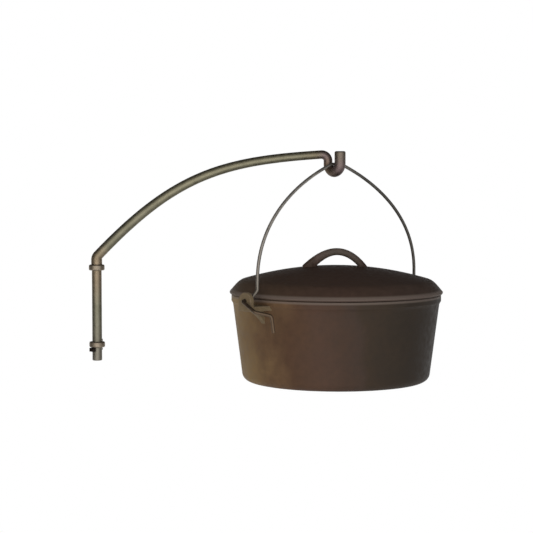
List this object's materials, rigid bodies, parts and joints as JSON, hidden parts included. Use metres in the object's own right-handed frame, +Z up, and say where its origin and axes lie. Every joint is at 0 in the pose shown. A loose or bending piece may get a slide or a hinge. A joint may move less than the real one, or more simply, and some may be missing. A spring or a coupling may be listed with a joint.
{
  "type": "hearth crane with pot",
  "caption": "Swinging forged-bar hearth crane in wall eyes, with a lidded cast-iron pot hanging by its wire bail from the arm's hooked end.",
  "frame": {"origin": "middle of the blunt end of the lower wall eye's shank, which is built into the wall", "axes": "+Z up along the post, +X along the arm at rest, +Y into the wall along the shanks"},
  "size_m": [0.5248, 0.3158, 0.3408],
  "materials": {
    "wall_iron": "forged, oiled, brown scale",
    "forged_bar": "forged mild steel, oiled, with heat tints at the bends",
    "keeper_iron": "black forge scale",
    "bail_wire": "drawn wire, dull grey",
    "pot_iron": "sand cast, seasoned brown-black",
    "lid_iron": "sand cast, seasoned, smoother sheen"
  },
  "bodies": {
    "wall_eyes": {"lower_wall_eye": "wall_iron", "upper_wall_eye": "wall_iron"},
    "crane": {"crane_bar": "forged_bar"},
    "keeper": {"keeper_pin": "keeper_iron"},
    "bail": {"bail": "bail_wire"},
    "pot": {"pot": "pot_iron"},
    "lid": {"lid": "lid_iron"}
  },
  "joints": [
    {"name": "crane_swing", "type": "hinge", "parent": "wall_eyes", "child": "crane", "pos_m": [0, -0.052, 0], "axis": [0, 0, 1], "range_deg": [-180, 0]},
    {"name": "keeper_pull", "type": "slide", "parent": "crane", "child": "keeper", "axis": [-0.6157, -0.788, 0], "range_m": [0, 0.03]},
    {"name": "bail_lift", "type": "slide", "parent": "crane", "child": "bail", "axis": [0, 0, 1], "range_m": [0, 0.04]},
    {"name": "pot_tilt", "type": "hinge", "parent": "bail", "child": "pot", "pos_m": [0.35527, -0.0573, 0.0765], "axis": [0.7193, 0.6947, 0], "range_deg": [-80, 80]},
    {"name": "lid_lift", "type": "slide", "parent": "pot", "child": "lid", "axis": [0, 0, 1], "range_m": [0, 0.055]}
  ]
}
